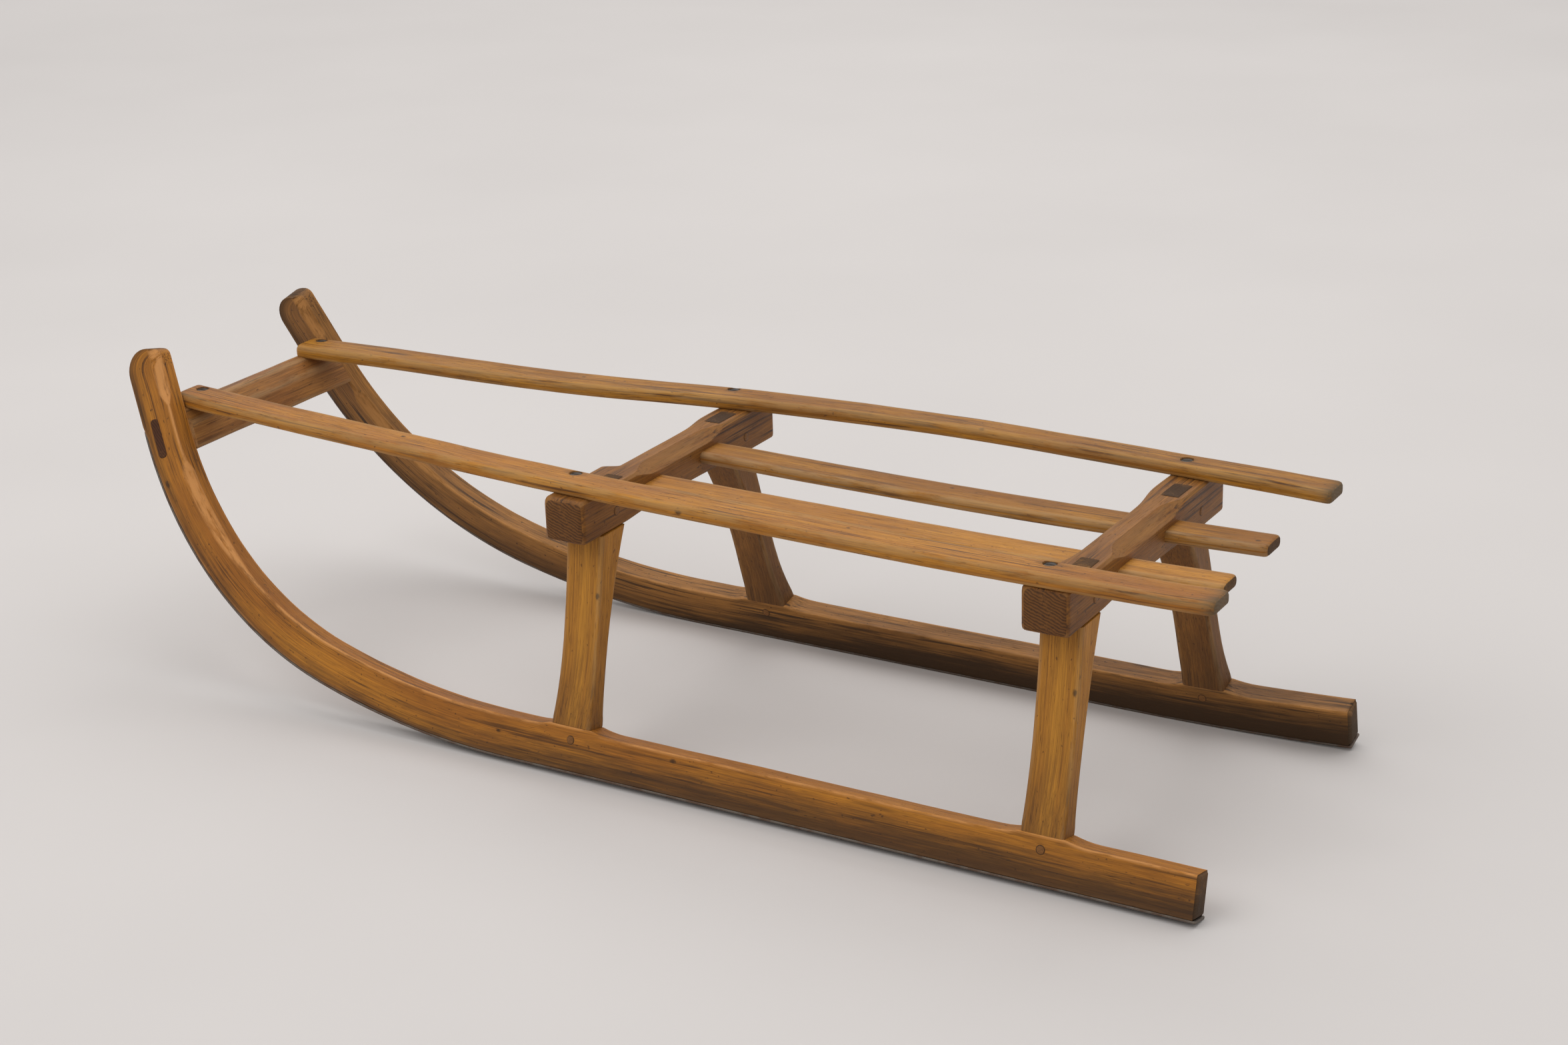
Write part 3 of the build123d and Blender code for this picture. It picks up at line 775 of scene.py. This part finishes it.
def foot_pegs(side, material):
    """The pegs through a runner and the legs' feet, showing on both faces."""
    profile = peg_profile(FOOT_PEG_R, 9.0)
    parts = []
    for name in CROSSBARS:
        x = leg_middle(name)
        for face in (0, 1):

            def place(a, b, h):
                return on_side(side, x + a, RUNNER_T + h if face else -h, FOOT_PEG_V + b)

            parts.append(turned(f"foot_peg_{name}_{face}", profile, place, material, tilt=0.2 * face))
    return joined(f"runner_foot_pegs_{side}", parts)


def shoe_screws(side, material):
    """The countersunk screws of a shoe, their heads flush with its sole."""
    parts = []
    for i in range(SHOE_SCREWS):
        x = TAIL - SHOE_SCREW_FIRST - SHOE_SCREW_STEP * i

        def place(a, b, h):
            return on_side(side, x + a, RUNNER_T / 2 - b, -h)

        parts.append(turned(f"shoe_screw_{side}_{i}", SHOE_SCREW_PROFILE, place, material))
    return joined(f"shoe_screws_{side}", parts)


# ---- materials ---------------------------------------------------------------------------------

class Nodes:
    """Short hands for one node tree."""

    def __init__(self, tree):
        self.tree = tree

    def add(self, kind, **settings):
        node = self.tree.nodes.new(kind)
        for key, value in settings.items():
            setattr(node, key, value)
        return node

    def feed(self, socket, value):
        if isinstance(value, bpy.types.NodeSocket):
            self.tree.links.new(value, socket)
        else:
            socket.default_value = value

    def give(self, node, **values):
        """Feeds a node's inputs by name, an underscore standing for a space."""
        for label, value in values.items():
            self.feed(node.inputs[label.replace("_", " ")], value)

    def math(self, operation, a, b=0.0):
        node = self.add("ShaderNodeMath", operation=operation)
        self.feed(node.inputs[0], a)
        self.feed(node.inputs[1], b)
        return node.outputs[0]

    def product(self, a, b):
        return self.math("MULTIPLY", a, b)

    def vector(self, operation, a, b):
        node = self.add("ShaderNodeVectorMath", operation=operation)
        self.feed(node.inputs[0], a)
        self.feed(node.inputs[1], b)
        return node.outputs["Vector"]

    def mix(self, factor, a, b):
        node = self.add("ShaderNodeMix", data_type="RGBA")
        self.feed(node.inputs["Factor"], factor)
        self.feed(node.inputs[6], a)
        self.feed(node.inputs[7], b)
        return node.outputs[2]

    def stretch(self, vector, scale, shift=(0, 0, 0)):
        node = self.add("ShaderNodeMapping")
        self.give(node, Vector=vector, Scale=scale, Location=shift)
        return node.outputs[0]

    def noise(self, vector, detail=4.0, rough=0.55, distort=0.0, scale=1.0):
        node = self.add("ShaderNodeTexNoise")
        self.give(node, Vector=vector, Scale=scale, Detail=detail, Roughness=rough, Distortion=distort)
        return node.outputs["Fac"]

    def ramp(self, value, low, high):
        """0 below low, 1 above high."""
        node = self.add("ShaderNodeMapRange", interpolation_type="SMOOTHSTEP")
        self.give(node, Value=value, From_Min=low, From_Max=high)
        return node.outputs["Result"]


def new_material(name):
    """An empty material: its nodes, its shader, and the material itself."""
    material = bpy.data.materials.new(name)
    material.use_nodes = True
    n = Nodes(material.node_tree)
    n.tree.nodes.clear()
    shader = n.add("ShaderNodeBsdfPrincipled")
    n.feed(n.add("ShaderNodeOutputMaterial").inputs["Surface"], shader.outputs[0])
    return n, shader, material


def add_bump(n, shader, height, strength, distance):
    """Gives a shader small relief."""
    bump = n.add("ShaderNodeBump")
    n.give(bump, Height=height, Strength=strength, Distance=distance)
    n.feed(shader.inputs["Normal"], bump.outputs["Normal"])


def new_group(name, inputs, outputs):
    """A shader group with named sockets."""
    tree = bpy.data.node_groups.new(name, "ShaderNodeTree")
    kinds = {"v": "NodeSocketVector", "f": "NodeSocketFloat", "c": "NodeSocketColor"}
    for label, kind in inputs:
        tree.interface.new_socket(label, in_out="INPUT", socket_type=kinds[kind])
    for label, kind in outputs:
        tree.interface.new_socket(label, in_out="OUTPUT", socket_type=kinds[kind])
    nodes = Nodes(tree)
    return nodes, tree.nodes.new("NodeGroupInput"), tree.nodes.new("NodeGroupOutput")


def wood_figure():
    """Grain that runs along the piece: growth bands, fibres, open pores and a broad drift of tone."""
    n, given, out = new_group(
        "wood figure", [("Grain", "v"), ("Seed", "v")],
        [("Bands", "f"), ("Fibres", "f"), ("Pores", "f"), ("Drift", "f"), ("Height", "f")],
    )
    where = n.vector("ADD", given.outputs["Grain"], given.outputs["Seed"])
    warp = n.product(n.noise(n.stretch(where, (5, 30, 30)), 2.0), 1.2)
    bands = n.ramp(n.noise(n.stretch(where, (2.2, 115, 115)), 3.0, 0.6, warp), 0.36, 0.66)
    fibres = n.ramp(n.noise(n.stretch(where, (28, 900, 900)), 5.0, 0.65), 0.3, 0.72)
    pores = n.ramp(n.noise(n.stretch(where, (70, 1500, 1500)), 2.0, 0.5), 0.62, 0.72)
    drift = n.ramp(n.noise(n.stretch(where, (6, 22, 22)), 3.0, 0.55), 0.32, 0.7)
    height = n.math("SUBTRACT", n.product(fibres, 0.5), n.product(pores, 0.9))
    n.give(out, Bands=bands, Fibres=fibres, Pores=pores, Drift=drift, Height=height)
    return n.tree


def old_varnish():
    """Varnish aged to honey and brown over the figure, with dark streaks and specks."""
    n, given, out = new_group(
        "old varnish",
        [("Light", "c"), ("Middle", "c"), ("Dark", "c"), ("Bands", "f"), ("Fibres", "f"), ("Pores", "f"),
         ("Drift", "f"), ("Grain", "v"), ("Streaks", "f")],
        [("Colour", "c"), ("Roughness", "f")],
    )
    g = given.outputs
    colour = n.mix(n.product(g["Drift"], 0.85), g["Light"], g["Middle"])
    colour = n.mix(n.product(g["Bands"], 0.55), colour, g["Middle"])
    line = n.ramp(n.noise(n.stretch(g["Grain"], (9, 420, 420), (0.3, 0.1, 0.7)), 4.0, 0.62), 0.5, 0.64)
    patch = n.ramp(n.noise(n.stretch(g["Grain"], (9, 40, 40), (1.3, 0.4, 0.2)), 2.0), 0.38, 0.58)
    speck = n.ramp(n.noise(n.stretch(g["Grain"], (240, 420, 420), (3.1, 2.0, 1.0)), 1.0, 0.4), 0.72, 0.77)
    darkening = (
        n.product(n.product(line, patch), g["Streaks"]),
        n.product(n.math("SUBTRACT", 1.0, g["Fibres"]), 0.5),
        n.product(g["Pores"], 0.7),
        n.product(speck, 0.7),
    )
    for share in darkening:
        colour = n.mix(share, colour, g["Dark"])
    gloss = n.noise(n.stretch(g["Grain"], (30, 60, 60)), 3.0)
    rough = n.math("ADD", n.product(gloss, 0.25), n.product(g["Pores"], 0.2))
    n.give(out, Colour=colour, Roughness=n.math("ADD", rough, 0.36))
    return n.tree


def hard_use():
    """Arrises rubbed pale or grey, patchy grime where a point is marked dirty, black or grey end grain, and
    near-black painted shade in holes and gaps.
    """
    n, given, out = new_group(
        "hard use",
        [("Colour", "c"), ("Roughness", "f"), ("Grain", "v"), ("Marks", "v"), ("Rubbed", "c"), ("Grime", "c"),
         ("End", "c"), ("Rub", "f"), ("Soil", "f")],
        [("Colour", "c"), ("Roughness", "f"), ("Height", "f")],
    )
    g = given.outputs
    split = n.add("ShaderNodeSeparateXYZ")
    n.feed(split.inputs[0], g["Marks"])
    arris, end, soiled = split.outputs
    patchy = n.noise(n.stretch(g["Grain"], (26, 160, 160), (5.0, 1.0, 2.0)), 5.0, 0.65)
    rubbed = n.product(n.product(n.math("MAXIMUM", arris, 0.0), n.ramp(patchy, 0.34, 0.56)), g["Rub"])
    colour = n.mix(rubbed, g["Colour"], g["Rubbed"])
    cloud = n.noise(n.stretch(g["Grain"], (18, 70, 70), (2.0, 7.0, 3.0)), 5.0, 0.6)
    fine = n.noise(n.stretch(g["Grain"], (12, 380, 380), (4.0, 3.0, 9.0)), 5.0, 0.65)
    settled = n.math("ADD", n.product(cloud, 0.35), n.product(fine, 0.75))
    soil = n.product(n.ramp(n.math("ADD", n.product(soiled, 0.8), settled), 0.9, 1.5), g["Soil"])
    colour = n.mix(soil, colour, g["Grime"])
    cut = n.product(end, n.ramp(n.math("ADD", cloud, end), 1.1, 1.5))
    ring = n.add("ShaderNodeTexWave", wave_type="RINGS", rings_direction="X")
    pith = n.stretch(g["Grain"], (1, 1, 1), (0.0, 0.021, 0.017))
    n.give(ring, Vector=pith, Scale=130.0, Distortion=5.0, Detail=3.0, Detail_Scale=1.0)
    end_colour = n.mix(n.product(ring.outputs["Fac"], 0.85), g["End"], g["Grime"])
    colour = n.mix(n.product(cut, 0.85), colour, end_colour)
    # Painted shade: points marked below zero, on a screw well's walls and round a peg's end, go toward
    # near-black.
    hole_shade = n.math("MAXIMUM", n.product(arris, -1.0), 0.0)
    colour = n.mix(n.product(hole_shade, 0.9), colour, (0.008, 0.006, 0.004, 1.0))
    bare = n.math("MAXIMUM", rubbed, cut)
    rough = n.math("ADD", g["Roughness"], n.product(n.math("MAXIMUM", bare, soil), 0.25))
    n.give(out, Colour=colour, Roughness=rough, Height=n.product(patchy, bare))
    return n.tree


def knot_mark():
    """A small dark knot or bruise at one place along the grain."""
    n, given, out = new_group(
        "knot mark",
        [("Colour", "c"), ("Grain", "v"), ("Place", "v"), ("Size", "f"), ("Dark", "c")],
        [("Colour", "c")],
    )
    g = given.outputs
    away = n.stretch(n.vector("SUBTRACT", g["Grain"], g["Place"]), (0.62, 1.0, 1.0))
    length = n.add("ShaderNodeVectorMath", operation="LENGTH")
    n.feed(length.inputs[0], away)
    ragged = n.product(n.noise(n.stretch(g["Grain"], (500, 700, 700)), 3.0), 0.9)
    reach = n.math("ADD", n.math("DIVIDE", length.outputs["Value"], g["Size"]), ragged)
    mask = n.math("SUBTRACT", 1.0, n.ramp(reach, 0.75, 1.45))
    n.give(out, Colour=n.mix(n.product(mask, 0.8), g["Colour"], g["Dark"]))
    return n.tree


FIGURE, VARNISH, USE, KNOT = wood_figure(), old_varnish(), hard_use(), knot_mark()


def rgb(r, g, b):
    """A colour as it looks on a screen, 0 to 255, as the shader wants it."""
    linear = [(c / 255 / 12.92) if c < 10 else ((c / 255 + 0.055) / 1.055) ** 2.4 for c in (r, g, b)]
    return (*linear, 1.0)


def wood(name, light, middle, dark, seed, rubbed=(176, 150, 112), grime=(62, 46, 33), end=(58, 43, 32),
         streaks=0.75, rub=0.55, soil=0.8, knots=()):
    """One piece's wood: the shared figure, varnish and wear with this piece's own colours.

    A knot is its place in the grain (along, across and depth) and its size.
    """
    n, shader, material = new_material(name)
    grain = n.add("ShaderNodeAttribute", attribute_name="grain").outputs["Vector"]
    marks = n.add("ShaderNodeAttribute", attribute_name="marks").outputs["Vector"]
    figure = n.add("ShaderNodeGroup", node_tree=FIGURE)
    n.give(figure, Grain=grain, Seed=(seed * 1.37, seed * 0.61, seed * 0.29))
    moved = n.vector("ADD", grain, (seed * 0.73, seed * 0.17, seed * 0.41))
    varnish = n.add("ShaderNodeGroup", node_tree=VARNISH)
    n.give(varnish, Light=rgb(*light), Middle=rgb(*middle), Dark=rgb(*dark), Streaks=streaks, Grain=moved)
    for label in ("Bands", "Fibres", "Pores", "Drift"):
        n.feed(varnish.inputs[label], figure.outputs[label])
    colour = varnish.outputs["Colour"]
    for along, across, depth, size in knots:
        knot = n.add("ShaderNodeGroup", node_tree=KNOT)
        n.give(knot, Colour=colour, Grain=grain, Place=(along * MM, across * MM, depth * MM))
        n.give(knot, Size=size * MM, Dark=rgb(44, 30, 20))
        colour = knot.outputs["Colour"]
    use = n.add("ShaderNodeGroup", node_tree=USE)
    n.give(use, Colour=colour, Roughness=varnish.outputs["Roughness"], Grain=moved, Marks=marks)
    n.give(use, Rubbed=rgb(*rubbed), Grime=rgb(*grime), End=rgb(*end), Rub=rub, Soil=soil)
    n.give(shader, Base_Color=use.outputs["Colour"], Roughness=use.outputs["Roughness"])
    n.give(shader, Specular_IOR_Level=0.2)
    add_bump(n, shader, n.math("ADD", figure.outputs["Height"], use.outputs["Height"]), 0.35, 0.0006)
    return material


def steel(name, bright, rusty, metallic, rough):
    """Old steel with brown rust in clouds."""
    n, shader, material = new_material(name)
    where = n.add("ShaderNodeTexCoord").outputs["Object"]
    cloud = n.ramp(n.noise(n.stretch(where, (60, 60, 60)), 6.0, 0.65), 0.38, 0.62)
    fine = n.noise(n.stretch(where, (900, 900, 900)), 3.0, 0.6)
    n.give(shader, Base_Color=n.mix(cloud, rgb(*bright), rgb(*rusty)))
    n.give(shader, Metallic=n.math("SUBTRACT", metallic, n.product(cloud, metallic * 0.7)))
    n.give(shader, Roughness=n.math("ADD", rough, n.product(fine, 0.25)))
    add_bump(n, shader, fine, 0.3, 0.0003)
    return material


near_runner = wood(
    "near runner wood", (202, 134, 44), (162, 100, 36), (76, 48, 25), 1.0, streaks=0.8, soil=0.85, rub=0.85,
    rubbed=(206, 146, 86), end=(66, 52, 38), knots=((1038, 0, 8, 3.0), (610, 0, 22, 2.0), (442, 0, 30, 2.5)),
)
# The right runner's wood: its own figure, in colours darker than the left runner's; the darkening is painted
# shade.
far_runner_shaded = wood(
    "far runner wood with painted shade", (180, 124, 60), (126, 84, 42), (52, 36, 22), 2.0, streaks=0.9, soil=1.0, rub=0.85,
    rubbed=(184, 132, 76), grime=(66, 47, 30), end=(70, 56, 40),
)
# End grain of the legs' tenons, near-black: partly the end grain's own dark, partly painted shade from the
# slat beside it.
TENON_END_AND_SHADE = (34, 25, 19)
leg_wood = wood(
    "near leg wood", (194, 134, 48), (166, 108, 40), (92, 58, 28), 3.0, streaks=0.5, rub=0.25, soil=0.45,
    end=TENON_END_AND_SHADE, knots=((83, 17, 0, 2.6), (59, 20, 0, 1.6), (147, 31, 3, 2.4)),
)
# The right legs' wood: its own figure, in colours darker than the left legs'; the darkening is painted shade.
far_leg_wood_shaded = wood(
    "far leg wood with painted shade", (160, 108, 48), (124, 80, 36), (66, 44, 25), 3.6, streaks=0.6, rub=0.25, soil=0.5,
    end=TENON_END_AND_SHADE,
)
bar_wood = wood(
    "crossbar wood", (160, 106, 42), (122, 76, 34), (60, 39, 25), 4.0, streaks=0.95, rub=0.5,
    rubbed=(150, 108, 62), end=(112, 72, 38), grime=(48, 33, 22),
)
rail_wood = wood(
    "rail wood", (178, 124, 62), (140, 88, 44), (66, 41, 25), 5.0, streaks=0.7, rub=0.3,
    end=(82, 48, 30), grime=(48, 29, 19),
)
weathered = {"rubbed": (168, 132, 84), "rub": 0.5, "grime": (98, 80, 58), "end": (104, 90, 72), "soil": 1.0}
slat_wood = wood(
    "slat wood", (200, 136, 44), (156, 96, 34), (78, 48, 26), 6.0, streaks=0.9, **weathered,
    knots=((440, -16, 236, 2.8), (735, 4, 241, 2.2), (300, 6, 241, 1.6)),
)
# The right outer slat's wood: its own figure and knots, in colours darker than the left slat's; the darkening
# is painted shade.
far_slat_wood_shaded = wood(
    "far slat wood with painted shade", (188, 130, 42), (148, 94, 32), (74, 46, 25), 7.0, streaks=0.9, **weathered,
    knots=((312, -11, 241, 2.6), (690, 3, 241, 1.8)),
)
DARK_END = (66, 50, 36)
inner_slat_wood = wood(
    "inner slat wood", (200, 138, 48), (164, 106, 38), (92, 58, 32), 8.0, streaks=0.6, rub=0.35, end=DARK_END,
)
# The right inner slat's wood: its own figure and knots, in colours darker than the left inner slat's; the
# darkening is painted shade.
far_inner_wood_shaded = wood(
    "far inner slat wood", (180, 124, 44), (142, 90, 34), (80, 52, 30), 9.0, streaks=0.8, rub=0.35,
    end=DARK_END, knots=((300, 5, 217, 2.0), (40, -6, 217, 2.0)),
)
peg_wood = wood("peg wood", (160, 110, 58), (128, 84, 42), (60, 40, 26), 10.0, end=(120, 82, 46), streaks=0.3)
shoe_steel = steel("shoe steel", (112, 104, 96), (84, 62, 46), 0.8, 0.42)
screw_steel = steel("screw steel", (78, 72, 66), (48, 38, 31), 0.7, 0.45)

# ---- the sledge --------------------------------------------------------------------------------

# The right side's woods are darker than the left's; the difference is painted shade.
SIDE_WOOD = {  # wood of each side's runner, legs, outer slat and inner slat
    "left": (near_runner, leg_wood, slat_wood, inner_slat_wood),
    "right": (far_runner_shaded, far_leg_wood_shaded, far_slat_wood_shaded, far_inner_wood_shaded),
}
for side, (runner_wood, side_leg_wood, outer_wood, inner_wood) in SIDE_WOOD.items():
    placed(runner(side, runner_wood), f"runner_{side}")
    placed(shoe(side, shoe_steel), f"runner_shoe_{side}")
    placed(foot_pegs(side, peg_wood), f"runner_foot_pegs_{side}")
    placed(shoe_screws(side, screw_steel), f"shoe_screws_{side}")
    for name in CROSSBARS:
        placed(leg(name, side, side_leg_wood), f"leg_{name}_{side}")
    cutters = well_cutters(side)
    placed(slat(f"outer_{side}", outer_wood, cutters), f"slat_outer_{side}")
    for cutter in cutters:
        bpy.data.objects.remove(cutter)
    placed(slat(f"inner_{side}", inner_wood), f"slat_inner_{side}")
for name in CROSSBARS:
    placed(crossbar(name, bar_wood), f"crossbar_{name}")
    placed(crossbar_pegs(name, peg_wood), f"crossbar_pegs_{name}")
placed(rail(rail_wood), "front_rail")

for node in ("slat_screws_left", "slat_screws_right", "inner_slat_nails"):
    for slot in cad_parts[node].material_slots:
        slot.material = screw_steel

# ---- studio ------------------------------------------------------------------------------------

def studio_floor():
    """A wide pale floor with the faint unevenness of paper."""
    mesh = bpy.data.meshes.new("studio_floor")
    half = 14.0
    corners = [(-half, -half, 0), (half, -half, 0), (half, half, 0), (-half, half, 0)]
    mesh.from_pydata(corners, [], [(0, 1, 2, 3)])
    floor = bpy.data.objects.new("studio_floor", mesh)
    bpy.context.scene.collection.objects.link(floor)
    n, shader, material = new_material("studio paper")
    cloud = n.noise(n.add("ShaderNodeTexCoord").outputs["Object"], 3.0, 0.5, scale=1.4)
    n.give(shader, Base_Color=n.mix(cloud, rgb(198, 194, 192), rgb(210, 206, 204)))
    n.give(shader, Roughness=0.85, Specular_IOR_Level=0.15)
    mesh.materials.append(material)


def soft_light(name, place, aim, size, power):
    """A large soft box."""
    lamp = bpy.data.lights.new(name, "AREA")
    lamp.shape, lamp.size, lamp.energy = "SQUARE", size, power
    lamp.color = (1.0, 0.99, 0.98)
    box = bpy.data.objects.new(name, lamp)
    box.location = place
    box.rotation_euler = (Vector(aim) - Vector(place)).to_track_quat("-Z", "Y").to_euler()
    bpy.context.scene.collection.objects.link(box)


def set_camera():
    """The camera: where it stands, which way it looks and its lens."""
    azimuth, elevation, roll = radians(30.97), radians(20.72), radians(-1.81)
    back = Vector((sin(azimuth) * cos(elevation), -cos(azimuth) * cos(elevation), sin(elevation)))
    right = Vector((cos(azimuth), sin(azimuth), 0))
    up = back.cross(right)
    turned_right = cos(roll) * right + sin(roll) * up
    turned_up = -sin(roll) * right + cos(roll) * up
    data = bpy.data.cameras.new("camera")
    data.lens, data.sensor_width, data.clip_end = 63.0, 36.0, 100.0
    camera = bpy.data.objects.new("camera", data)
    rotation = Matrix((turned_right, turned_up, back)).transposed().to_4x4()
    camera.matrix_world = Matrix.Translation((1.15585, -1.78798, 0.96933)) @ rotation
    bpy.context.scene.collection.objects.link(camera)
    bpy.context.scene.camera = camera


studio_floor()
soft_light("key", (-1.6, -2.6, 3.6), (0, 0, 0.1), 3.2, 68)
soft_light("top", (0.6, 1.0, 3.6), (0, 0, 0.1), 3.6, 50)
soft_light("far floor", (-2.6, 4.2, 3.8), (-2.6, 4.0, 0), 5.0, 76)
world = bpy.data.worlds.new("studio")
world.use_nodes = True
background = world.node_tree.nodes["Background"]
background.inputs["Color"].default_value = (0.93, 0.92, 0.91, 1)
background.inputs["Strength"].default_value = 0.66
bpy.context.scene.world = world
bpy.context.scene.view_settings.view_transform = "Standard"
set_camera()
